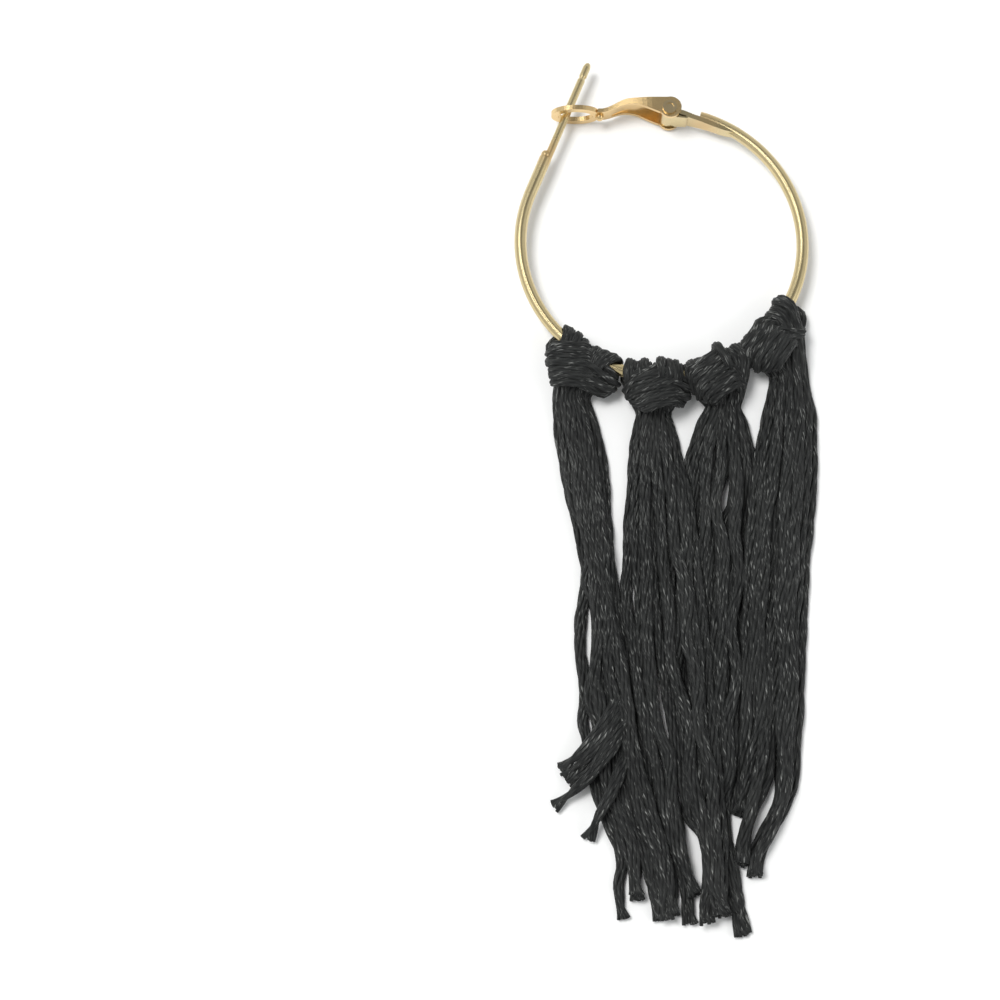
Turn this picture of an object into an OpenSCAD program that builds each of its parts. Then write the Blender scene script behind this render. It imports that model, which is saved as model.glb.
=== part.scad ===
// Tassel earring lying flat: a round hoop with a lever-back clasp and four floss tassels tied on with loop knots.
// Frame: the origin is the middle of the overall box on the floor, +Y points to the clasp, +Z is up.

/* [Hoop] */
// Outside diameter of the hoop
hoop_d = 30; // [29:0.5:32]
// Diameter of the round tube
tube_d = 1.25; // [1.15:0.05:1.35]
// Inside diameter of the tube's open cut end
tube_bore_d = 0.85; // [0.7:0.05:0.95]
// How far the open cut end is hollow
tube_bore_l = 1.6; // [1:0.1:2.5]
// Angle of the tube's cut end beside the hinge
cut_angle = 73; // [72:0.5:74]
// Length of the straight stretch of tube at the post end
straight_l = 4.65; // [4.3:0.05:5]
// Lean of the post away from +Y
post_lean = 22.1; // [21:0.1:23.5]

/* [Post] */
// Diameter of the ear post
post_d = 0.8; // [0.7:0.05:0.9]
// How far the post sits off the tube's middle, towards the hinge
post_shift = 0.2; // [0.1:0.05:0.2]
// Length of the post from the solder bead to its tip
post_l = 10.98; // [10.58:0.1:11.48]
// Diameter of the solder bead at the tube's mouth
bead_d = 0.95; // [0.9:0.05:1.1]
// Diameter at the bottom of the friction notch
notch_d = 0.64; // [0.56:0.02:0.68]
// Length of the rolled friction notch
notch_l = 0.5; // [0.4:0.05:0.8]
// Distance from the tip to the near side of the notch
notch_from_tip = 1.6; // [1.4:0.05:1.8]
// Length of the tapered tip
tip_l = 0.5; // [0.4:0.05:0.7]

/* [Hinge] */
// Angle of the rivet on the hoop
rivet_angle = 86; // [85:0.5:87]
// Diameter of the rivet's shank
rivet_d = 0.84; // [0.7:0.02:0.9]
// Diameter of the rivet's head
rivet_head_d = 1.45; // [1.3:0.05:1.6]
// Height of each rivet head
rivet_head_h = 0.25; // [0.2:0.05:0.35]
// Depth of the dish in each rivet head
dish_depth = 0.12; // [0.08:0.02:0.16]
// Outside diameter of the hinge knuckle
knuckle_d = 1.7; // [1.6:0.05:1.8]
// Clearance between the rivet's shank and the knuckle's bore, on the radius
rivet_gap = 0.04; // [0.02:0.01:0.08]
// Clearance between the knuckle and each side of the lever
side_gap = 0.08; // [0.05:0.01:0.12]
// Width of the hinge strip at its far end; it widens to the knuckle's width
strip_w = 1.5; // [1.3:0.05:1.8]
// Thickness of the hinge strip
strip_t = 0.5; // [0.45:0.05:0.6]
// Width of the slot where the strip's curl comes back from the rivet
slot_t = 0.16; // [0.12:0.02:0.2]

/* [Lever] */
// Width of the lever over both ears
lever_w = 3.5; // [3.3:0.1:3.8]
// Thickness of the stamped sheet
sheet_t = 0.4; // [0.35:0.05:0.45]
// Diameter of each round ear
ear_d = 2.25; // [2.2:0.05:2.35]
// How far each ear's middle lies outside the rivet, both ways
ear_shift = 0.1; // [0.05:0.01:0.15]
// Height of the arched back above the rivet
arch_h = 1.2; // [1.1:0.05:1.3]
// Width of the neck beside the eyelet
neck_w = 2; // [1.8:0.1:2.2]
// Length of the eyelet
eye_l = 5; // [4.8:0.1:5.2]
// Width of the eyelet
eye_w = 3.7; // [3.6:0.1:3.9]
// Thickness of the eyelet
eye_t = 0.5; // [0.45:0.05:0.6]
// Width of the eyelet's rim
eye_rim = 0.72; // [0.65:0.05:0.8]
// How far the eyelet's middle lies inside the closed post
eye_inset = 1.13; // [1:0.01:1.2]
// Diameter of the bead on the neck
neck_bead_d = 0.9; // [0.7:0.1:1]

/* [Tassels] */
// Thickness of the knots over the floor
knot_h = 4.3; // [4.2:0.1:4.6]
// Diameter of one floss strand in the knots
floss_d = 0.95; // [0.9:0.05:1]
// Clearance between the knots and the tube
thread_gap = 0.05; // [0.04:0.01:0.08]
// Thickness of the fringe where it lies thickest
fringe_h = 2.2; // [2:0.1:2.5]
// Locks side by side in each tassel
lock_count = 7; // [7:2:9]
// Overlap of neighbouring locks as a share of their spacing
lock_overlap = 0.42; // [0.4:0.02:0.5]

/* [Hidden] */
$fn = 48;
gold = [0.86, 0.68, 0.36];
bright_gold = [0.9, 0.74, 0.45];
black = [0.16, 0.16, 0.16];

ring_r = (hoop_d - tube_d) / 2;
lie_z = lever_w / 2 + rivet_head_h;
lie_x = -0.19;
lie_y = 25.04;
rivet_x = 0.983 * ring_r * cos(rivet_angle);
rivet_y = 0.983 * ring_r * sin(rivet_angle);
bend_angle = 180 - post_lean;
bend_x = ring_r * cos(bend_angle);
bend_y = ring_r * sin(bend_angle);
mouth_x = bend_x + straight_l * sin(post_lean);
mouth_y = bend_y + straight_l * cos(post_lean);
cross_x = bend_x + (rivet_y - bend_y) * tan(post_lean);
reach = rivet_x - cross_x;
inner_w = lever_w - 2 * sheet_t;
knuckle_w = inner_w - 2 * side_gap;

// One row a tassel: angle of its knot on the hoop, half its angle, turn of the front wraps,
// wraps' middle x and y, legs' middle x and y, legs' half width, left shoulder's x and y, right shoulder's x and y.
// Lengths are shares of the hoop's diameter.
KNOTS = [
    [237, 14.3, -4, -0.318, -0.452, -0.305, -0.540, 0.066, -0.353, -0.440, -0.183, -0.493],
    [265.3, 11.3, 16, -0.040, -0.512, -0.032, -0.590, 0.058, -0.107, -0.537, 0.057, -0.497],
    [291.8, 12.2, 33, 0.170, -0.490, 0.202, -0.572, 0.060, 0.137, -0.527, 0.250, -0.467],
    [320.1, 12.9, 56, 0.354, -0.376, 0.420, -0.462, 0.070, 0.330, -0.420, 0.450, -0.320]
];

// One list a tassel, one row a station down the fringe: its y, left edge and right edge,
// as shares of the hoop's diameter from the hoop's middle.
FALLS = [
    [[-0.53, -0.376, -0.242], [-0.70, -0.364, -0.204], [-0.87, -0.334, -0.182], [-1.11, -0.285, -0.166],
        [-1.44, -0.296, -0.131], [-1.64, -0.291, -0.111], [-1.84, -0.262, -0.105], [-2.05, -0.190, -0.080],
        [-2.29, -0.178, -0.076]],
    [[-0.58, -0.092, 0.028], [-0.71, -0.120, 0.056], [-0.84, -0.126, 0.064], [-1.11, -0.150, 0.066],
        [-1.44, -0.122, 0.070], [-1.64, -0.104, 0.076], [-1.84, -0.098, 0.062], [-2.29, -0.068, 0.028]],
    [[-0.56, 0.138, 0.264], [-0.67, 0.113, 0.292], [-0.75, 0.078, 0.306], [-0.98, 0.074, 0.290],
        [-1.31, 0.074, 0.264], [-1.64, 0.084, 0.258], [-1.90, 0.070, 0.196], [-2.33, 0.074, 0.240]],
    [[-0.45, 0.350, 0.492], [-0.63, 0.324, 0.518], [-0.77, 0.313, 0.512], [-1.04, 0.298, 0.486],
        [-1.31, 0.271, 0.457], [-1.64, 0.267, 0.438], [-1.90, 0.232, 0.415], [-2.13, 0.205, 0.330]]
];

// Lowest y of each lock from left to right, one row a tassel, as shares of the hoop's diameter.
ENDS = [
    [-1.97, -2.12, -2.20, -2.29, -2.27, -2.22, -2.29, -2.28, -2.20],
    [-2.05, -2.18, -2.25, -2.29, -2.27, -2.29, -2.26, -2.27, -2.20],
    [-2.29, -2.24, -2.30, -2.27, -2.29, -2.26, -2.31, -2.33, -2.31],
    [-1.93, -1.94, -1.95, -2.06, -2.08, -2.10, -2.12, -2.12, -2.10]
];

// Locks that leave their tassel sideways: tassel, start x and y, bend x and y, end x and y,
// as shares of the hoop's diameter.
STRAYS = [
    [1, -0.20, -1.56, -0.255, -1.69, -0.338, -1.79],
    [1, -0.19, -1.64, -0.275, -1.77, -0.378, -1.90],
    [1, -0.21, -1.80, -0.245, -1.90, -0.268, -1.99],
    [4, 0.26, -1.80, 0.250, -1.95, 0.228, -2.06]
];

function unit(v) = v / norm(v);
function across(t, side) = unit(side - t * (side * t));

// Closed strand along a list of points, with its half width and half height at each point.
module strand(path, wide, high, side, sides) {
    count = len(path);
    dirs = [for (j = [0:count - 1]) unit(path[min(j + 1, count - 1)] - path[max(j - 1, 0)])];
    ring = [for (j = [0:count - 1], i = [0:sides - 1])
        let (s = across(dirs[j], side), u = cross(dirs[j], s), a = 360 * (i + 0.5) / sides)
        path[j] + s * wide[j] * cos(a) + u * high[j] * sin(a)];
    walls = [for (j = [0:count - 2], i = [0:sides - 1])
        let (a = j * sides + i, b = j * sides + (i + 1) % sides)
        [a, a + sides, b + sides, b]];
    start = [for (i = [0:sides - 1]) i];
    end = [for (i = [sides - 1:-1:0]) (count - 1) * sides + i];
    polyhedron(points = ring, faces = concat([start], walls, [end]), convexity = 6);
}

// The strip lies against the inside of the tube and is rolled round the rivet at its wide end.
module hinge_strip() {
    face = ring_r - tube_d * 0.62;
    back = face + strip_t;
    mid_angle = 72;
    end_w = knuckle_w / 2 - 0.04;
    leaf = [for (p = [[-0.26, 87], [-0.26, 85], [-0.2, 81.5], [-0.12, 78.2], [0.03, 77.6], [-0.01, 72],
        [-0.01, 67], [0.04, 63.5], [0.14, 60.8], [0.32, 58.4]]) [face + p[0], p[1]]];
    far_end = [for (a = [56.5:5.1:72]) [back, a]];
    shoulder = [[back, 76], [ring_r - tube_d * 0.12, 79], [ring_r + tube_d * 0.04, 85]];
    widths = [[-5, 0.4], [-3.8, 0.42], [-2.9, 0.5], [-1, 0.53], [0.3, 0.64], [1.45, 0.74]];
    difference() {
        intersection() {
            linear_extrude(height = knuckle_w, center = true)
                polygon([for (p = concat(leaf, far_end, shoulder)) p[0] * [cos(p[1]), sin(p[1])]]);
            rotate([0, 0, mid_angle])
                rotate([90, 0, 90])
                linear_extrude(height = hoop_d * 0.6)
                polygon(concat(
                    [for (p = widths) [p[0], p[1] * strip_w]], [[2.5, end_w], [5, end_w], [5, -end_w], [2.5, -end_w]],
                    [for (i = [len(widths) - 1:-1:0]) [widths[i][0], -widths[i][1] * strip_w]]));
        }
        rotate([0, 0, 80.2])
            translate([face + slot_t * 0.5, 0, 0])
            rotate([0, 0, -3])
            cube([slot_t, 0.75, strip_w * 2.4], center = true);
    }
}

module hoop_body() {
    difference() {
        union() {
            rotate([0, 0, bend_angle])
                rotate_extrude(angle = 360 + cut_angle - bend_angle, $fn = 180)
                translate([ring_r, 0])
                circle(d = tube_d);
            translate([bend_x, bend_y, 0])
                rotate([0, 0, -post_lean])
                rotate([-90, 0, 0])
                straight_and_post();
            hinge_strip();
            translate([rivet_x, rivet_y, 0])
                cylinder(d = knuckle_d, h = knuckle_w, center = true);
        }
        translate([rivet_x, rivet_y, 0])
            cylinder(r = rivet_d / 2 + rivet_gap, h = knuckle_w * 2, center = true);
        rotate([0, 0, cut_angle])
            translate([ring_r, -tube_bore_l, 0])
            rotate([-90, 0, 0])
            cylinder(d = tube_bore_d, h = tube_bore_l * 1.6);
    }
}

// The straight stretch of tube, a hair wider than the bent one, its solder bead and the notched post.
module straight_and_post() {
    tube_end = straight_l - bead_d * 0.45;
    notch_end = straight_l + post_l - notch_from_tip;
    tip = straight_l + post_l;
    rotate_extrude()
        polygon([[0, -tube_d / 4], [tube_d * 0.508, -tube_d / 4], [tube_d * 0.508, tube_end - tube_d * 0.08],
            [tube_d * 0.43, tube_end], [0, tube_end]]);
    translate([-post_shift * 0.6, -post_shift * 0.4, straight_l - bead_d * 0.22])
        sphere(d = bead_d);
    translate([post_shift, 0, 0])
        rotate_extrude()
        polygon([[0, tube_end - tube_d / 4], [post_d / 2, tube_end - tube_d / 4],
            [post_d / 2, notch_end - notch_l], [notch_d / 2, notch_end - notch_l / 2], [post_d / 2, notch_end],
            [post_d / 2, tip - tip_l], [post_d * 0.41, tip - tip_l * 0.45], [post_d * 0.3, tip - tip_l * 0.14],
            [post_d * 0.16, tip], [0, tip]]);
}

module hoop() {
    color(gold)
        translate([lie_x, lie_y, lie_z])
        hoop_body();
}

module rivet() {
    color(bright_gold)
        translate([lie_x + rivet_x, lie_y + rivet_y, lie_z])
        difference() {
            union() {
                cylinder(d = rivet_d, h = lever_w + rivet_head_h, center = true);
                for (side = [-1, 1])
                    translate([0, 0, side * (lever_w + rivet_head_h) / 2])
                    cylinder(d = rivet_head_d, h = rivet_head_h, center = true);
            }
            for (side = [-1, 1])
                translate([0, 0, side * (lever_w / 2 + rivet_head_h)])
                cylinder(d = rivet_head_d * 0.6, h = 2 * dish_depth, center = true);
        }
}

// Height of the lever's back over its neck, along its length from the rivet.
function ease(t) = let (c = min(1, max(0, t))) c * c * (3 - 2 * c);
function back(x) = 0.44 * eye_t + (arch_h - 0.44 * eye_t) * (1 - ease((x - 0.38 * reach) / (0.27 * reach)));
function rim(x) = x < 0.31 * reach
    ? -ear_d / 2 + (arch_h - sheet_t * 1.62 + ear_d / 2) * (0.14 + 0.86 * x / (0.31 * reach))
    : back(x) - sheet_t * (1 + 0.62 * (1 - ease((x - 0.31 * reach) / (0.36 * reach))));
function half_w(x) = x < 0.15 * reach ? lever_w / 2
    : neck_w / 2 + (lever_w - neck_w) / 2 * (1 - ease((x - 0.15 * reach) / (0.5 * reach)));

// Side outline, seen along the rivet; x runs from the rivet to the eyelet.
module side_outline() {
    top = [for (t = [0:0.04:0.68]) [t * reach, back(t * reach)]];
    low = [for (t = [0.69:-0.04:0.06]) [t * reach, rim(t * reach)]];
    polygon(concat(top, low));
    translate([-ear_shift, ear_shift])
        circle(d = ear_d);
}

// Outline over the width, seen from the back.
module wide_outline(inset) {
    xs = [for (t = [-0.2:0.046:0.8]) t * reach];
    polygon(concat(
        [for (x = xs) [x, half_w(x) - inset]],
        [for (i = [len(xs) - 1:-1:0]) [xs[i], inset - half_w(xs[i])]]));
}

module eyelet_outline(inset) {
    points = [for (a = [0:7.5:352.5])
        let (c = cos(a), s = sin(a))
        [(eye_l / 2 - inset) * (c < 0 ? -pow(-c, 0.92) : c), (eye_w / 2 - inset) * s]];
    polygon(points);
}

module channel_space() {
    linear_extrude(height = lever_w, center = true)
        polygon(concat(
            [for (t = [0.065:0.04:0.55]) [t * reach, back(t * reach) - sheet_t]],
            [[0.55 * reach, -ear_d], [0.065 * reach, -ear_d]]));
}

module lever_body() {
    difference() {
        union() {
            intersection() {
                linear_extrude(height = lever_w, center = true)
                    side_outline();
                rotate([90, 0, 0])
                    linear_extrude(height = ear_d * 4, center = true)
                    wide_outline(0);
            }
            translate([reach - eye_inset, 0, 0])
                rotate([90, 0, 0])
                linear_extrude(height = eye_t, center = true)
                difference() {
                    eyelet_outline(0);
                    eyelet_outline(eye_rim);
                }
            translate([reach - eye_inset - eye_l / 2, -neck_bead_d * 0.3, 0])
                sphere(d = neck_bead_d);
        }
        intersection() {
            channel_space();
            rotate([90, 0, 0])
                linear_extrude(height = ear_d * 4, center = true)
                wide_outline(sheet_t);
        }
        translate([-ear_d, -ear_d, -inner_w / 2])
            cube([ear_d * 1.35, ear_d * 2, inner_w]);
        cylinder(d = rivet_d, h = lever_w * 2, center = true);
    }
}

module lever() {
    color(gold)
        translate([lie_x + rivet_x, lie_y + rivet_y, lie_z])
        rotate([0, 180, 0])
        lever_body();
}

// Front wraps, loops over the hoop and the packed middle of one knot.
module knot(row) {
    front = knot_h - floss_d / 2;
    turn = [cos(row[2]), sin(row[2]), 0];
    down = [sin(row[2]), -cos(row[2]), 0];
    mid = hoop_d * [row[3], row[4], 0];
    half = hoop_d * 0.088;
    for (i = [-2.5:1:2.5]) {
        path = [for (t = [-1, -0.85, -0.55, 0, 0.55, 0.85, 1])
            mid + turn * (half - floss_d / 2) * (t + 0.04 * sin(90 * i)) + down * i * floss_d * 0.8
            + [0, 0, front - floss_d * 0.052 * (i * i - 0.25) - (front - floss_d * 1.4) * pow(abs(t), 3.2)]];
        size = [for (p = path) floss_d * 0.5];
        strand(path, size, size, down, 6);
    }
    for (i = [-3:1:3])
        rotate([0, 0, row[0] + i * row[1] / 3.4])
        translate([ring_r, 0, lie_z])
        hull()
        for (turn_up = [-58, 58])
            rotate([0, turn_up, 0])
            translate([-tube_d / 2 - floss_d * 0.42, 0, 0])
            scale([1, 1.14, 1])
            sphere(d = floss_d, $fn = 8);
    for (i = [-1:0.5:1]) {
        top_a = row[0] + i * row[1] * 0.85;
        top = ring_r * [cos(top_a), sin(top_a), 0];
        legs = hoop_d * [row[5] + i * row[7] * 0.72, row[6], 0];
        path = [top * 0.93 + [0, 0, lie_z], top + [0, 0, lie_z + tube_d / 2 + floss_d * 0.4],
            (top + legs) / 2 + [0, 0, knot_h * 0.68], legs + [0, 0, fringe_h * 0.62]];
        size = [for (p = path) floss_d * 0.62];
        strand(path, size, size, [-1, 0, 0], 6);
    }
    hull() {
        for (i = [-1, 1]) {
            rotate([0, 0, row[0] + i * row[1] * 0.8])
                translate([ring_r, 0, lie_z])
                scale([1.1, 1, 1.5])
                sphere(r = floss_d, $fn = 9);
            translate(hoop_d * [row[5] + i * row[7] * 0.68, row[6], 0] + [0, 0, fringe_h * 0.568])
                scale([1, 1, 1.35])
                sphere(r = floss_d * 0.895, $fn = 9);
            translate(hoop_d * [row[9 + i], row[10 + i], 0] + [0, 0, knot_h * 0.42])
                scale([1, 1, 1.4])
                sphere(r = floss_d * 1.05, $fn = 9);
        }
        translate(mid + [0, 0, knot_h * 0.65])
            cylinder(r = floss_d * 1.37, h = floss_d, $fn = 9);
    }
}

// One lock of the fringe, from the knot to its end.
module lock(index, tassel) {
    rows = FALLS[tassel];
    left = [for (r = rows) [r[0], r[1]]];
    right = [for (r = rows) [r[0], r[2]]];
    stations = 8;
    count = lock_count;
    share = (index + 0.5) / count;
    last = ENDS[tassel][min(8, round(index * 8 / (count - 1)))];
    first = rows[0][0] + 0.03;
    upper = index % 2;
    width = [for (j = [0:stations])
        let (y = first + (last - first) * j / stations)
        hoop_d * (lookup(y, right) - lookup(y, left)) / count * (0.5 + lock_overlap + (j == 0 ? -0.2 : 0))];
    high = [for (j = [0:stations]) fringe_h * (0.36 - 0.1 * pow(j / stations, 3))];
    path = [for (j = [0:stations])
        let (y = first + (last - first) * j / stations,
            edge_l = lookup(y, left) * hoop_d + width[j],
            edge_r = lookup(y, right) * hoop_d - width[j],
            sway = 0.12 * sin(97 * index + 71 * j) * (edge_r - edge_l) / count)
        [edge_l + (edge_r - edge_l) * index / (count - 1) + sway, y * hoop_d,
            high[j] + (upper ? fringe_h * 0.26 * (1 - pow(j / stations, 2)) : 0)]];
    strand(path, width, high, [-1, 0, 0], 6);
}

module stray_lock(row) {
    ends = [for (i = [1, 3, 5]) hoop_d * [row[i], row[i + 1], 0]];
    path = [for (t = [0:0.25:1])
        ends[0] * (1 - t) * (1 - t) + ends[1] * 2 * t * (1 - t) + ends[2] * t * t
        + [0, 0, fringe_h * (0.327 - 0.045 * t)]];
    width = [for (t = [0:0.25:1]) floss_d * (0.58 + 0.26 * t * t)];
    high = [for (t = [0:0.25:1]) fringe_h * (0.318 - 0.045 * t)];
    strand(path, width, high, unit([-1, row[5] < 0 ? 1 : 0, 0]), 6);
}

module tassel(k) {
    color(black)
        translate([lie_x, lie_y, 0])
        difference() {
            union() {
                knot(KNOTS[k - 1]);
                for (i = [0:lock_count - 1])
                    lock(i, k - 1);
                for (row = STRAYS)
                    if (row[0] == k)
                        stray_lock(row);
            }
            translate([0, 0, lie_z])
                rotate([0, 0, KNOTS[k - 1][0] - 25])
                rotate_extrude(angle = 50, $fn = 72)
                translate([ring_r, 0])
                circle(r = (tube_d / 2 + thread_gap * 1.3) / cos(15), $fn = 12);
        }
}

module tassel_1() {
    tassel(1);
}

module tassel_2() {
    tassel(2);
}

module tassel_3() {
    tassel(3);
}

module tassel_4() {
    tassel(4);
}

hoop();
rivet();
lever();
tassel_1();
tassel_2();
tassel_3();
tassel_4();
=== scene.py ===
import bpy
import bmesh
import math
import random
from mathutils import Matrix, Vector


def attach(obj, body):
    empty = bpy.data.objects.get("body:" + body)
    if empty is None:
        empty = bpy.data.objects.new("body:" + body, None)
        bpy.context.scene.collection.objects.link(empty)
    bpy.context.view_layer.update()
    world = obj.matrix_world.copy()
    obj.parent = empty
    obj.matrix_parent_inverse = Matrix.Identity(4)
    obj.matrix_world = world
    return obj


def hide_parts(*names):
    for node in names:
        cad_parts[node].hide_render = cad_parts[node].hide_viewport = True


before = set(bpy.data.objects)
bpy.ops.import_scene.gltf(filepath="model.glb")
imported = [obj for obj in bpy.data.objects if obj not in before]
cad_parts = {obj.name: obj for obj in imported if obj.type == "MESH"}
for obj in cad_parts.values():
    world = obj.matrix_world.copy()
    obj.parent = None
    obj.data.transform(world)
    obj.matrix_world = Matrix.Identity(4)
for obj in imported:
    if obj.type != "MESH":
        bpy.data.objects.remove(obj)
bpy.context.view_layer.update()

# Camera. The earring lies flat and is seen from 15 degrees off straight above,
# with the clasp away from the camera and to the right of the picture's middle.
MM = 0.001
camera = bpy.data.objects.new("camera", bpy.data.cameras.new("camera"))
camera.data.lens = 86.4
camera.data.sensor_width = 36.0
camera.data.clip_start = 0.01
camera.location = Vector((-16.65, -63.65, 231.5)) * MM
camera.rotation_euler = (math.radians(15), 0, 0)
bpy.context.scene.collection.objects.link(camera)
bpy.context.scene.camera = camera

# Table and light. A plain white matt table, a steep soft window light from the
# left and a weak one from the right, so that thin metal keeps a dark and a bright side.
bpy.context.scene.view_settings.view_transform = "Standard"
TABLE_REACH = 1.6


def shade(hex_colour):
    """A colour given as sRGB hex, turned to the linear values that the shaders read."""
    parts = [int(hex_colour[i:i + 2], 16) / 255 for i in (1, 3, 5)]
    return [p / 12.92 if p <= 0.04045 else ((p + 0.055) / 1.055) ** 2.4 for p in parts] + [1.0]


def add_node(material, kind, settings=(), values=(), links=()):
    """One shader node with its settings, its plain socket values and its links."""
    made = material.node_tree.nodes.new(kind)
    for name, value in dict(settings).items():
        setattr(made, name, value)
    for socket, value in dict(values).items():
        made.inputs[socket].default_value = value
    for socket, source in dict(links).items():
        material.node_tree.links.new(source, made.inputs[socket])
    return made


def new_finish(name):
    """A material without nodes, to be built up."""
    finish = bpy.data.materials.new(name)
    finish.use_nodes = True
    finish.node_tree.nodes.clear()
    return finish


# coated paper board, whose faint tooth only keeps the light from lying perfectly even
paper = new_finish("matt white paper board")
where = add_node(paper, "ShaderNodeTexCoord")
tooth = add_node(paper, "ShaderNodeTexNoise", values={"Scale": 900.0, "Detail": 3.0},
                 links={"Vector": where.outputs["Object"]})
grain = add_node(paper, "ShaderNodeBump", values={"Strength": 0.05, "Distance": 0.00005},
                 links={"Height": tooth.outputs[0]})
board = add_node(paper, "ShaderNodeBsdfPrincipled",
                 values={"Base Color": shade("#F4F4F3"), "Roughness": 0.8, "Specular IOR Level": 0.25},
                 links={"Normal": grain.outputs[0]})
add_node(paper, "ShaderNodeOutputMaterial", links={"Surface": board.outputs[0]})

table_top = bmesh.new()
bmesh.ops.create_grid(table_top, x_segments=2, y_segments=2, size=TABLE_REACH)
table_mesh = bpy.data.meshes.new("table")
table_top.to_mesh(table_mesh)
table_top.free()
table = bpy.data.objects.new("table", table_mesh)
table_mesh.materials.append(paper)
bpy.context.scene.collection.objects.link(table)

# pale room all round, darker straight above, where it gives the polished tube its dark line
sky = bpy.data.worlds.new("studio")
sky.use_nodes = True
sky.node_tree.nodes.clear()
look = add_node(sky, "ShaderNodeTexCoord")
height = add_node(sky, "ShaderNodeSeparateXYZ", links={0: look.outputs["Generated"]})
dim = add_node(sky, "ShaderNodeMapRange", values={1: 0.72, 2: 0.96, 3: 0.76, 4: 0.12},
               links={0: height.outputs["Z"]})
walls = add_node(sky, "ShaderNodeBackground", values={"Color": shade("#F2F4F5")},
                 links={"Strength": dim.outputs[0]})
add_node(sky, "ShaderNodeOutputWorld", links={"Surface": walls.outputs[0]})
bpy.context.scene.world = sky

# from, size and watts of each soft light, and whether the gold mirrors it; the window is a small lamp
# that gives the shadows their edge and a wide pale one that shows in the metal
WINDOWS = {
    "window_left": ((-0.38, 0.14, 0.9), 0.33, 4.4, False),
    "window_blind": ((-0.38, 0.14, 0.9), 0.52, 3.6, True),
    "fill_right": ((0.75, -0.25, 0.6), 0.5, 1.0, True),
}
for name, (place, size, watts, mirrored) in WINDOWS.items():
    lamp = bpy.data.lights.new(name, "AREA")
    lamp.size = size
    lamp.energy = watts
    lit = bpy.data.objects.new(name, lamp)
    lit.location = place
    lit.rotation_euler = (-Vector(place)).to_track_quat("-Z", "Y").to_euler()
    lit.visible_glossy = mirrored
    bpy.context.scene.collection.objects.link(lit)

# Hoop. Drawn brass tube bent round, with the ear post soldered in its mouth and the
# hinge strip soldered under its cut end, then barrel-plated with pale gold.
HOOP_D = 30.0
TUBE_D = 1.25
HOOP_MIDDLE = Vector((-0.19, 25.04, 2.0))
MOUTH = HOOP_MIDDLE + Vector((-11.57, 9.72, 0.0))
STRIP = HOOP_MIDDLE + Vector((4.6, 12.9, 0.0))


def plate_gold(name, light, dark, rough, solder_at=()):
    """Bright electroplate on polished brass: faint rub marks and tone drift, duller at the solder."""
    plated = new_finish(name)
    where = add_node(plated, "ShaderNodeTexCoord")
    drift = add_node(plated, "ShaderNodeTexNoise", values={"Scale": 260.0, "Detail": 2.0},
                     links={"Vector": where.outputs["Object"]})
    tone = add_node(plated, "ShaderNodeMix", settings={"data_type": "RGBA"},
                    values={6: shade(light), 7: shade(dark)}, links={0: drift.outputs[0]})
    stretch = add_node(plated, "ShaderNodeMapping",
                       values={"Scale": (1.0, 1.0, 7.0), "Rotation": (0.3, 0.2, 0.5)},
                       links={"Vector": where.outputs["Object"]})
    # rub marks 0.2 mm long
    rubs = add_node(plated, "ShaderNodeTexNoise", values={"Scale": 5200.0, "Detail": 3.0, "Roughness": 0.6},
                    links={"Vector": stretch.outputs[0]})
    dull = add_node(plated, "ShaderNodeMapRange", values={1: 0.35, 2: 0.75, 3: rough, 4: rough + 0.02},
                    links={0: rubs.outputs[0]})
    colour, roughness = tone.outputs[2], dull.outputs[0]
    for place in solder_at:
        away = add_node(plated, "ShaderNodeVectorMath", settings={"operation": "DISTANCE"},
                        values={1: place * MM}, links={0: where.outputs["Object"]})
        near = add_node(plated, "ShaderNodeMapRange", values={1: 0.0004, 2: 0.0022, 3: 0.3, 4: 0.0},
                        links={0: away.outputs["Value"]})
        warm = add_node(plated, "ShaderNodeMix", settings={"data_type": "RGBA"},
                        values={7: shade("#C98D4C")}, links={0: near.outputs[0], 6: colour})
        matt = add_node(plated, "ShaderNodeMath", settings={"operation": "MULTIPLY_ADD"}, values={1: 0.3},
                        links={0: near.outputs[0], 2: roughness})
        colour, roughness = warm.outputs[2], matt.outputs[0]
    # soft orange peel 0.4 mm across, left by tumbling
    peel = add_node(plated, "ShaderNodeTexNoise", values={"Scale": 2600.0, "Detail": 2.0},
                    links={"Vector": where.outputs["Object"]})
    skin = add_node(plated, "ShaderNodeBump", values={"Strength": 0.03, "Distance": 0.00002},
                    links={"Height": peel.outputs[0]})
    metal = add_node(plated, "ShaderNodeBsdfPrincipled", values={"Metallic": 1.0},
                     links={"Base Color": colour, "Roughness": roughness, "Normal": skin.outputs[0]})
    add_node(plated, "ShaderNodeOutputMaterial", links={"Surface": metal.outputs[0]})
    return plated


def finish_node(name, finish):
    """Gives one of the CAD solids its finish."""
    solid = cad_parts[name]
    solid.data.materials.clear()
    solid.data.materials.append(finish)


finish_node("hoop", plate_gold("gold plated brass tube, tumbled", "#E0CFA4", "#CDBA8B", 0.24,
                               solder_at=(MOUTH, STRIP)))

# Rivet. Brass pin peened over at both ends, with a dished head; its gold is painted a little
# brighter than the tube's, as painted light for the dark room overhead that its head mirrors.
finish_node("rivet", plate_gold("gold plated rivet, peened", "#F2DCB0", "#E0C796", 0.2))

# Lever. Stamped and folded from 0.4 mm brass sheet, with the eyelet that snaps round
# the post; the press leaves it flatter; its gold is a touch deeper in colour than the tube's and painted
# lighter, as painted light for the dark room overhead that its flat faces mirror.
finish_node("lever", plate_gold("gold plated sheet brass, stamped", "#F0D4A0", "#DCBC86", 0.24))

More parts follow.
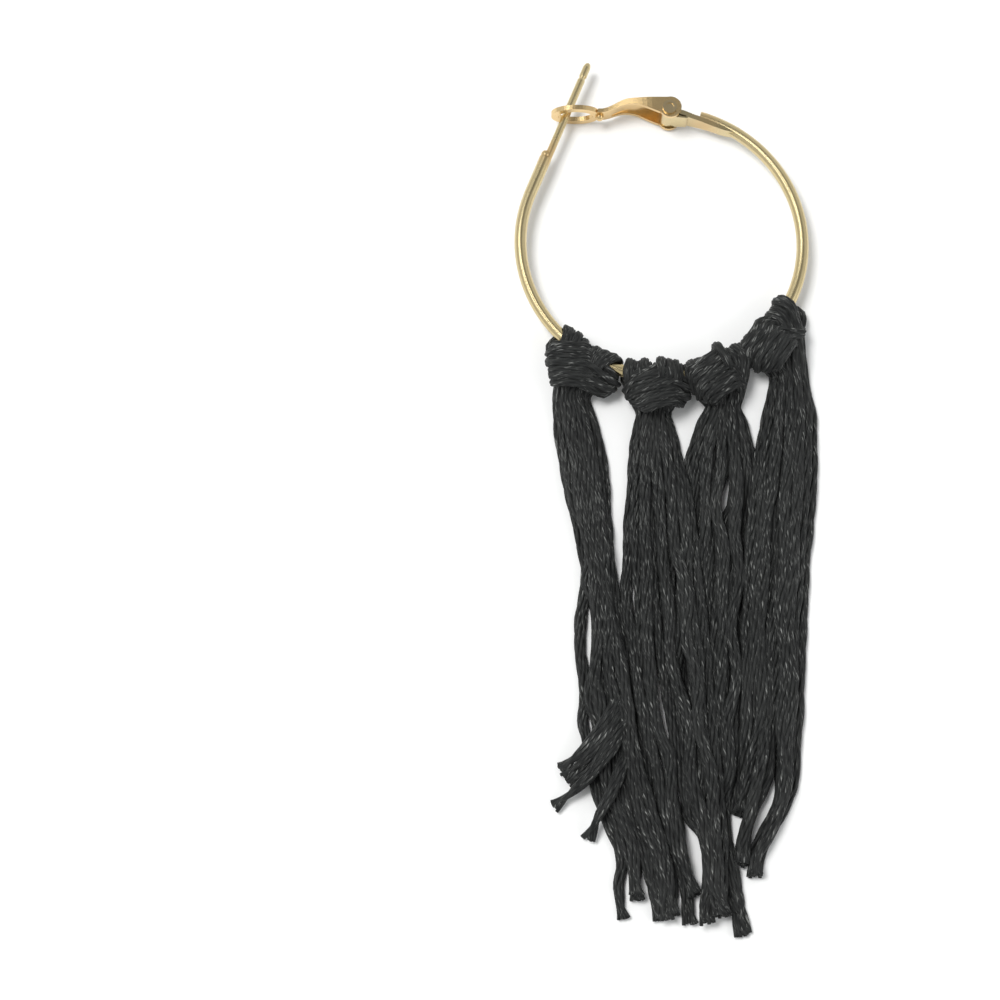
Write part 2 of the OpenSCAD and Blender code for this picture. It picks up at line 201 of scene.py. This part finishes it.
# Tassels. Seven lengths of black six-strand cotton floss, folded in half over the hoop and
# tied with a lark's head knot: the bights cross in front as a bar, the legs hang as fringe.
RING_R = (HOOP_D - TUBE_D) / 2
PLY_D = 0.43
FLOSS_TURN = 14.0  # millimetres in which a strand's plies turn once
FLOSS_HALF = 0.58  # half a strand's width
STRANDS = 7
# loops left slack: tassel, strand and side (-1 left, 1 right), then how far the loop stands off
# the hoop's inside, off its outside and below the shoulder
SLACK = {
    (1, 6, -1): (0.1, 0.9, 0.0),
    (1, 3, -1): (0.15, 0.0, 0.0),
    (2, 6, -1): (0.3, 0.0, 0.0),
    (2, 4, -1): (0.1, 0.0, 0.0),
    (2, 2, -1): (0.55, 0.0, 0.0),
    (2, 0, 1): (0.2, 0.0, 0.0),
    (2, 1, 1): (0.6, 0.0, 0.0),
    (2, 3, 1): (0.45, 0.0, 0.0),
    (2, 5, 1): (0.3, 0.0, 0.0),
    (3, 1, 1): (0.9, 0.0, 0.0),
    (4, 6, 1): (0.2, 1.0, 0.0),
    (4, 5, 1): (0.1, 0.2, 0.2),
    (4, 4, 1): (0.0, -0.2, -0.2),
    (4, 3, 1): (0.0, 0.35, 0.9),
    (4, 2, 1): (0.0, 0.3, 1.0),
}

# each tassel's knot: its angle on the hoop, half its angle, how far out its left and its right loops
# cross in front, the turn of its bar, then the bar's middle, the left shoulder and the right one
KNOTS = {
    1: (237.2, 15.3, 0.7, 0.55, -4.0, (-9.5, -13.5), (-11.2, -12.7), (-5.0, -15.2)),
    2: (265.8, 12.2, 1.0, 0.92, 16.0, (-1.0, -15.6), (-3.5, -16.3), (2.4, -15.8)),
    3: (291.8, 13.5, 1.0, 1.0, 33.0, (5.0, -14.7), (3.8, -16.4), (7.7, -14.6)),
    4: (320.1, 14.0, 1.0, 0.87, 56.0, (10.5, -11.3), (9.5, -13.4), (13.2, -9.4)),
}
# y, left edge and right edge of each fringe down its length, in millimetres from the hoop's middle;
# below y = -25 a fringe's edges reach over or under its neighbours
FALLS = {
    1: ((-16.4, -11.3, -7.2), (-21.2, -10.9, -5.9), (-26.4, -10.0, -5.4), (-33.5, -8.5, -5.0),
        (-37.5, -8.5, -4.5), (-45.4, -8.9, -3.1), (-51.8, -8.4, -1.9), (-57.0, -7.4, -0.8),
        (-61.8, -5.5, 0.2), (-68.7, -5.3, 1.1)),
    2: ((-17.8, -2.8, 0.8), (-21.5, -3.6, 1.7), (-25.4, -3.8, 2.5), (-30.5, -4.4, 3.1), (-37.5, -4.5, 3.8),
        (-45.4, -3.7, 4.4), (-53.2, -2.1, 5.0), (-61.8, -0.2, 5.4), (-68.9, 0.9, 5.4)),
    3: ((-17.2, 4.1, 7.9), (-19.5, 3.0, 8.7), (-22.8, 2.0, 9.3), (-27.4, 1.5, 9.4), (-33.5, 1.2, 9.1),
        (-41.5, 1.2, 8.3), (-49.3, 1.8, 7.4), (-57.8, 2.6, 5.6), (-61.8, 3.0, 6.1), (-69.8, 3.5, 7.1)),
    4: ((-14.1, 10.6, 14.9), (-18.5, 9.8, 15.5), (-23.3, 8.8, 15.3), (-31.5, 7.7, 14.5), (-39.5, 7.2, 13.7),
        (-49.9, 6.8, 13.0), (-55.1, 6.5, 12.5), (-59.2, 6.3, 10.9), (-61.8, 6.0, 9.4), (-64.2, 5.9, 8.0)),
}
# tufts that each fringe ends in: the place across the fringe up to which its legs go there,
# then the tuft's x and y
TUFTS = {
    1: ((0.15, -4.6, -68.4), (0.35, -3.3, -66.3), (0.43, -2.5, -68.5), (0.8, -0.3, -68.2),
        (1.0, 0.0, -67.8)),
    2: ((0.05, 1.8, -68.8), (0.25, 2.2, -65.9), (0.6, 3.4, -68.6), (1.0, 4.7, -67.9)),
    3: ((0.5, 4.6, -66.6), (0.75, 5.7, -67.4), (1.0, 6.8, -69.6)),
    4: ((0.23, 6.0, -58.2), (0.5, 6.5, -63.0), (0.7, 7.3, -62.8), (1.0, 8.1, -64.0)),
}
# narrow gaps in a fringe: tassel, x and y of the upper end, x and y of the lower end, width
PARTINGS = (
    (1, -7.7, -36.2, -7.8, -45.2, 0.6),
    (1, -7.8, -48.4, -7.5, -51.2, 0.45),
    (1, -4.7, -63.8, -4.4, -67.8, 0.6),
    (2, -1.6, -43.7, -0.2, -52.2, 0.15),
    (2, 1.6, -58.4, 2.4, -66.4, 1.7),
    (3, 6.5, -23.6, 5.4, -29.4, 0.7),
    (4, 10.3, -54.4, 7.8, -62.4, 1.3),
)
# legs that leave a fringe sideways: tassel, then points from where they rise out of it to their cut end,
# each point at its own height over the table
STRAY_HEIGHTS = (1.2, 2.1, 1.7, 0.5)
STRAYS = (
    (1, (-4.9, -46.6), (-6.6, -49.7), (-8.6, -52.2), (-10.7, -53.9)),
    (1, (-4.6, -47.6), (-6.3, -50.6), (-8.2, -53.0), (-10.2, -54.8)),
    (1, (-4.3, -48.8), (-6.0, -51.6), (-7.8, -54.1), (-9.6, -55.6)),
    (1, (-4.5, -49.9), (-6.2, -52.7), (-8.4, -55.2), (-11.4, -57.5)),
    (1, (-4.4, -52.8), (-5.8, -56.3), (-7.1, -58.6), (-8.1, -60.6)),
    (4, (9.4, -49.0), (8.4, -54.6), (7.3, -58.6), (6.4, -63.2)),
)


def between(rows, y, column):
    """The value of a column of a table at y, straight between its rows."""
    for upper, lower in zip(rows, rows[1:]):
        if y >= lower[0]:
            share = min(1.0, max(0.0, (upper[0] - y) / (upper[0] - lower[0])))
            return upper[column] + (lower[column] - upper[column]) * share
    return rows[-1][column]


def through(points, step):
    """Evenly spaced points on a smooth line through the given ones."""
    dense = []
    ends = [points[0] * 2 - points[1]] + points + [points[-1] * 2 - points[-2]]
    for a, b, c, d in zip(ends, ends[1:], ends[2:], ends[3:]):
        for i in range(8):
            t = i / 8
            dense.append(0.5 * (2 * b + (c - a) * t + (2 * a - 5 * b + 4 * c - d) * t * t
                                + (3 * b - a - 3 * c + d) * t ** 3))
    dense.append(points[-1])
    reach = [0.0]
    for a, b in zip(dense, dense[1:]):
        reach.append(reach[-1] + (b - a).length)
    count = max(8, round(reach[-1] / step))
    even, j = [], 0
    for i in range(count + 1):
        want = reach[-1] * i / count
        while j < len(reach) - 2 and reach[j + 1] < want:
            j += 1
        span = reach[j + 1] - reach[j] or 1.0
        even.append(dense[j].lerp(dense[j + 1], (want - reach[j]) / span))
    return even


def crossing(tassel, x, y):
    """How far a leg at x, y lies over or under a neighbouring fringe, from 0 to 1."""
    most = 0.0
    for other, column, way in ((tassel - 1, 2, -1), (tassel + 1, 1, 1)):
        if other in FALLS and y < -20:
            most = max(most, way * (x - between(FALLS[other], y, column)) + FLOSS_HALF)
    return min(1.0, most / 0.6)


# spacing of a leg's points, height of the lowest leg and of each layer over it, its climb over a
# neighbouring fringe, and how long and how firmly its end is drawn into its tuft
LEG_STEP = 1.7
LOW_LEG = 0.42
LEG_LAYER = 0.6
OVER_LEG = 0.85
TUFT_LENGTH = 8.0
TUFT_PULL = 0.7


def fringe_leg(tassel, share, drift, layer, seed):
    """Points of one leg from below the knot to its cut end."""
    rows, luck = FALLS[tassel], random.Random(seed)
    waves = []
    for wave in range(3):
        waves.append((luck.uniform(0, math.tau), luck.uniform(8, 19), luck.uniform(0.06, 0.22)))
    drift += luck.uniform(-0.08, 0.08) if 0 < share < 1 else 0.0
    top = rows[0][0]
    tuft = next(row for row in TUFTS[tassel] if min(1.0, share + drift) <= row[0])
    low = tuft[2] + luck.uniform(-0.25, 0.25)

    def across(y):
        left, right = between(rows, y, 1) + FLOSS_HALF, between(rows, y, 2) - FLOSS_HALF
        return left + (right - left) * min(1.0, max(0.0, share + drift * (top - y) / (top - low)))

    points = []
    count = round((top - low) / LEG_STEP)
    for i in range(count + 1):
        t = i / count
        y = top + (low - top) * t
        sway = sum(size * math.sin(phase + y * math.tau / pitch) for phase, pitch, size in waves)
        x = across(y) + sway * min(1.0, 3 * t) * (0.25 if share in (0, 1) else 1.0)
        for owner, x_top, y_top, x_low, y_low, width in PARTINGS:
            if owner == tassel and y_low < y < y_top:
                part = (y_top - y) / (y_top - y_low)
                gap = x_top + (x_low - x_top) * part
                room = (width / 2 + FLOSS_HALF) * math.sin(math.pi * part) ** 0.5
                on_right = across((y_top + y_low) / 2) > (x_top + x_low) / 2
                x = max(x, gap + room) if on_right else min(x, gap - room)
        x += (tuft[1] - x) * TUFT_PULL * max(0.0, 1 - (y - low) / TUFT_LENGTH) ** 1.5
        z = LOW_LEG + layer * LEG_LAYER * (1 - 0.35 * t * t) + 0.08 * math.sin(waves[0][0] + i / 2)
        # the even fringes lie over their neighbours, the odd ones dip under them
        over = crossing(tassel, x, y)
        z += OVER_LEG * over if tassel % 2 == 0 else (LOW_LEG - z) * over
        points.append(Vector((x, y, max(0.4, z))))
    return points


# how far the lower and the upper loops lie from the tube's middle, then the height of the bars' tops
# and, for each tassel, which strand is the bar's middle row and the pitch of its rows
LAY = (0.92, 1.16)
BAR_TOP = 3.62
BAR_ROWS = {1: (3.0, 0.64), 2: (2.5, 0.6), 3: (3.0, 0.64), 4: (3.0, 0.64)}


def knot_half(tassel, strand, side, leg_top):
    """Points of a strand from its leg up under the bar, over the hoop and round to the bar's middle."""
    angle, half_angle, left_front, right_front, turn, bar, left, right = KNOTS[tassel]
    turn = math.radians(turn)
    along, down = Vector((math.cos(turn), math.sin(turn), 0)), Vector((math.sin(turn), -math.cos(turn), 0))
    luck = random.Random(tassel * 40 + strand * 2 + side)
    # strands lie in two layers round the tube, one over the gaps of the other
    upper = strand % 2
    lay = LAY[upper] + luck.uniform(-0.06, 0.12)
    stand_in, stand_out, stand_low = SLACK.get((tassel, strand, side), (0.0, 0.0, 0.0))
    lay += stand_in
    share = (strand + 0.5) / STRANDS
    spread = side * half_angle * (0.04 + 0.9 * share)
    inside = math.radians(angle + spread)
    front = math.radians(angle + spread * (left_front if side < 0 else right_front))
    out = Vector((math.cos(inside), math.sin(inside), 0))
    out_front = Vector((math.cos(front), math.sin(front), 0))
    tube, tube_front = out * RING_R, out_front * RING_R
    middle = Vector((*bar, 0))
    shoulder = Vector((*(left if side < 0 else right), 0))
    middle_row, pitch = BAR_ROWS[tassel]
    row = (strand - middle_row) * pitch
    rise = BAR_TOP - 0.05 * row * row + 0.16 * upper
    taper = max(0.0, row) * 0.34
    # two points on the leg, five round the tube from its front to its back, then shoulder and bar
    return [
        leg_top.lerp(tube_front + out_front, 0.3) + Vector((0, 0, 0.9 + 0.3 * upper)),
        leg_top.lerp(tube_front + out_front, 0.7) + Vector((0, 0, 2.1)),
        tube_front + out_front * 0.45 + Vector((0, 0, HOOP_MIDDLE.z + lay)),
        tube.lerp(tube_front, 0.4) - out * lay * 0.66 + Vector((0, 0, HOOP_MIDDLE.z + lay * 0.75)),
        tube - out * lay + Vector((0, 0, HOOP_MIDDLE.z)),
        tube - out * lay * 0.66 + Vector((0, 0, HOOP_MIDDLE.z - min(1.4, lay) * 0.8)),
        tube + out * (0.6 + stand_out) + Vector((0, 0, HOOP_MIDDLE.z - min(1.3, lay))),
        shoulder + out * stand_low + along * side * ((0.25 if upper else -0.2) - taper) + down * row * 0.45
        + Vector((0, 0, 1.5 + 0.5 * upper)),
        middle + along * side * (1.8 - taper * 0.5) + down * row + Vector((0, 0, rise - 0.5)),
        middle + along * side * 0.9 + down * row + Vector((0, 0, rise)),
    ]


# spacing of a strand's points, its plies and how far they lie from its middle, length of a frayed end,
# and how near the tube's middle a strand is pressed flat
STEP = 0.6
PLIES = 6
PLY_OUT = 0.26
BRUSH = 3.4
PRESSED = 1.8


def lay_plies(floss, line, seed, cut_ends):
    """Six plies twisted loosely round a line, pressed on the hoop, spread like a brush at cut ends."""
    luck = random.Random(seed)
    phase, turn = luck.uniform(0, math.tau), FLOSS_TURN * luck.uniform(0.85, 1.15)
    step = (line[1] - line[0]).length
    total = step * (len(line) - 1)
    fan = luck.uniform(0.2, 0.27)
    side = Vector((1, 0, 0))
    frames = []
    for i, point in enumerate(line):
        ahead = (line[min(i + 1, len(line) - 1)] - line[max(i - 1, 0)]).normalized()
        side = (side - ahead * side.dot(ahead)).normalized()
        on_tube = Vector((point.x, point.y, 0)).normalized() * RING_R + Vector((0, 0, HOOP_MIDDLE.z))
        from_tube = point - on_tube
        frames.append((point, side.copy(), ahead.cross(side), ahead, from_tube))
    for ply in range(PLIES):
        spline = floss.splines.new("POLY")
        spline.points.add(len(line) - 1)
        wander = luck.uniform(0, math.tau)
        trim = luck.uniform(0, 0.3)
        for i, (point, across, up, ahead, from_tube) in enumerate(frames):
            s = step * i
            from_end = min(s if cut_ends[0] else 99.0, total - s if cut_ends[1] else 99.0)
            brush = max(0.0, 1 - from_end / BRUSH) ** 1.4
            angle = phase + math.tau * (ply / PLIES + s / turn)
            reach = PLY_OUT + 0.04 * math.sin(wander + s * 0.6)
            offset = (across * math.cos(angle) + up * math.sin(angle)) * reach
            if from_tube.length < PRESSED:
                out = from_tube.normalized()
                offset -= out * offset.dot(out) * 0.55
            # below the knots the strands lie broad and low
            in_fringe = min(1.0, max(0.0, (-point.y - 15.5) / 3.0))
            offset.x *= 1 + 0.5 * in_fringe
            offset.z *= 1 - 0.35 * in_fringe
            beside = Vector((-ahead.y, ahead.x, 0)).normalized()
            fanned = beside * (ply - (PLIES - 1) / 2) * fan
            offset = offset.lerp(fanned, brush)
            place = point + offset
            if (cut_ends[1] and i == len(line) - 1) or (cut_ends[0] and i == 0):
                place -= ahead * trim * (1 if i else -1)
            place.z = max(PLY_D / 2 + 0.01, place.z)
            place = (place + Vector((HOOP_MIDDLE.x, HOOP_MIDDLE.y, 0))) * MM
            spline.points[i].co = (*place, 1)
            spline.points[i].radius = 1 - 0.15 * brush


def new_floss():
    """An empty curve that gives each of its lines the thickness of a ply."""
    floss = bpy.data.curves.new("floss", "CURVE")
    floss.dimensions = "3D"
    floss.bevel_depth = PLY_D * MM / 2
    floss.bevel_resolution = 1
    floss.use_fill_caps = True
    return floss


def add_floss(pile, plies, length, seed):
    """Adds six bevelled plies to a mesh; U is the millimetres along each ply, from a start of its own."""
    drawn = bpy.data.objects.new("drawn", plies)
    bpy.context.scene.collection.objects.link(drawn)
    bpy.context.view_layer.update()
    mesh = bpy.data.meshes.new_from_object(drawn.evaluated_get(bpy.context.evaluated_depsgraph_get()))
    bpy.data.objects.remove(drawn)
    bpy.data.curves.remove(plies)
    luck = random.Random(seed)
    starts = [luck.uniform(0, 9) for ply in range(PLIES)]
    corners = mesh.uv_layers.active.data
    for face in mesh.polygons:
        start = starts[face.index * PLIES // len(mesh.polygons)]
        for corner in face.loop_indices:
            corners[corner].uv.x = corners[corner].uv.x * length + start
    pile.from_mesh(mesh)
    bpy.data.meshes.remove(mesh)


# mercerised cotton, black from the dye, matt, with painted shade in the grooves and painted highlights on
# single silky fibres.
# Each ply is two yarns, turned once round each other in 3.2 mm
cotton = new_finish("black mercerised cotton floss")
YARNS = 2
YARN_TURN = 3.2
where = add_node(cotton, "ShaderNodeTexCoord")
twist = add_node(cotton, "ShaderNodeMapping", values={"Scale": (1 / YARN_TURN, 1.0, 1.0)},
                 links={"Vector": where.outputs["UV"]})
# the wave texture counts ten radians to a unit
crowns = add_node(cotton, "ShaderNodeTexWave",
                  settings={"wave_type": "BANDS", "bands_direction": "DIAGONAL", "wave_profile": "SIN"},
                  values={"Scale": YARNS * math.tau / 10, "Distortion": 0.0},
                  links={"Vector": twist.outputs[0]})
# fibres along each yarn, drawn 0.1 mm wide, as real ones would be too fine for the picture
comb = add_node(cotton, "ShaderNodeMapping", settings={"vector_type": "TEXTURE"},
                values={"Rotation": (0.0, 0.0, -math.pi / 4), "Scale": (0.8, 0.08, 1.0)},
                links={"Vector": twist.outputs[0]})
fibres = add_node(cotton, "ShaderNodeTexNoise", values={"Scale": 1.0, "Detail": 2.0, "Roughness": 0.55},
                  links={"Vector": comb.outputs[0]})
# painted highlights over stretches about 1.5 mm long, and slow changes of tone over 4 mm where the dye took
# differently
glint_stretches = add_node(cotton, "ShaderNodeTexNoise", values={"Scale": 0.7, "Detail": 2.0},
                  links={"Vector": where.outputs["UV"]})
dye = add_node(cotton, "ShaderNodeTexNoise", values={"Scale": 260.0, "Detail": 2.0},
               links={"Vector": where.outputs["Object"]})
rough_yarn = add_node(cotton, "ShaderNodeMath", settings={"operation": "MULTIPLY"}, values={1: 0.4},
                      links={0: crowns.outputs["Fac"]})
relief = add_node(cotton, "ShaderNodeMath", settings={"operation": "MULTIPLY_ADD"}, values={1: 0.6},
                  links={0: fibres.outputs[0], 2: rough_yarn.outputs[0]})
# painted shade and light: where the relief is low, in the grooves between yarns and fibres, the floss is
# painted darker, and on the crowns lighter
crest_shading = add_node(cotton, "ShaderNodeMapRange", settings={"interpolation_type": "SMOOTHSTEP"},
                 values={1: 0.25, 2: 0.8, 3: 0.0, 4: 1.0}, links={0: relief.outputs[0]})
body = add_node(cotton, "ShaderNodeMix", settings={"data_type": "RGBA"},
                values={6: shade("#121313"), 7: shade("#2A2B2A")}, links={0: crest_shading.outputs[0]})
faded = add_node(cotton, "ShaderNodeMapRange", values={1: 0.38, 2: 0.64, 3: 0.0, 4: 0.35},
                 links={0: dye.outputs[0]})
toned = add_node(cotton, "ShaderNodeMix", settings={"data_type": "RGBA"}, values={7: shade("#2F302F")},
                 links={0: faded.outputs[0], 6: body.outputs[2]})
# painted highlights: light grey glints where single fibres cross the silky stretches
glint_patches = add_node(cotton, "ShaderNodeMapRange", values={1: 0.455, 2: 0.635, 3: 0.0, 4: 1.0},
                  links={0: glint_stretches.outputs[0]})
glint_fibres = add_node(cotton, "ShaderNodeMapRange", values={1: 0.54, 2: 0.69, 3: 0.0, 4: 1.0},
                links={0: fibres.outputs[0]})
painted_glint = add_node(cotton, "ShaderNodeMath", settings={"operation": "MULTIPLY"},
                 links={0: glint_patches.outputs[0], 1: glint_fibres.outputs[0]})
glinted = add_node(cotton, "ShaderNodeMix", settings={"data_type": "RGBA"}, values={7: shade("#878885")},
                links={0: painted_glint.outputs[0], 6: toned.outputs[2]})
groove = add_node(cotton, "ShaderNodeBump", values={"Strength": 0.7, "Distance": 0.00006},
                  links={"Height": relief.outputs[0]})
thread = add_node(cotton, "ShaderNodeBsdfPrincipled",
                  values={"Roughness": 0.62, "IOR": 1.53, "Specular IOR Level": 0.25, "Sheen Weight": 0.08,
                          "Sheen Roughness": 0.4, "Sheen Tint": shade("#BFC1C0")},
                  links={"Base Color": glinted.outputs[2], "Normal": groove.outputs[0]})
add_node(cotton, "ShaderNodeOutputMaterial", links={"Surface": thread.outputs[0]})

# place across the fringe, drift along it and layer of each leg, from the left edge to the right one
LEGS = (
    (0.00, 0.00, 0), (0.09, 0.08, 1), (0.19, 0.02, 0), (0.27, -0.1, 2), (0.31, 0.14, 1),
    (0.40, 0.00, 0), (0.46, 0.28, 2), (0.54, -0.10, 1), (0.60, 0.03, 0), (0.69, 0.16, 2),
    (0.74, -0.26, 1), (0.80, 0.00, 0), (0.90, -0.06, 1), (1.00, 0.00, 0),
)
for tassel in KNOTS:
    pile = bmesh.new()
    for strand in range(STRANDS):
        left = fringe_leg(tassel, *LEGS[STRANDS - 1 - strand], seed=tassel * 100 + strand)
        right = fringe_leg(tassel, *LEGS[STRANDS + strand], seed=tassel * 100 + 50 + strand)
        up, back = knot_half(tassel, strand, -1, left[0]), knot_half(tassel, strand, 1, right[0])
        middle = (up[-1] + back[-1]) / 2 + Vector((0, 0, 0.1))
        line = through(left[::-1] + up + [middle] + back[::-1] + right, STEP)
        floss = new_floss()
        lay_plies(floss, line, tassel * 1000 + strand, (True, True))
        add_floss(pile, floss, (line[1] - line[0]).length * (len(line) - 1), tassel * 10 + strand)
    for number, (owner, *points) in enumerate(STRAYS):
        if owner == tassel:
            line = through([Vector((x, y, z)) for (x, y), z in zip(points, STRAY_HEIGHTS)], STEP)
            floss = new_floss()
            lay_plies(floss, line, 5000 + number, (False, True))
            add_floss(pile, floss, (line[1] - line[0]).length * (len(line) - 1), 100 + number)
    bmesh.ops.remove_doubles(pile, verts=pile.verts, dist=1e-7)
    for face in pile.faces:
        face.smooth = True
    mesh = bpy.data.meshes.new("floss_tassel_" + str(tassel))
    pile.to_mesh(mesh)
    pile.free()
    mesh.materials.append(cotton)
    piece = bpy.data.objects.new(mesh.name, mesh)
    bpy.context.scene.collection.objects.link(piece)
    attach(piece, "hoop")
    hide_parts("tassel_" + str(tassel))
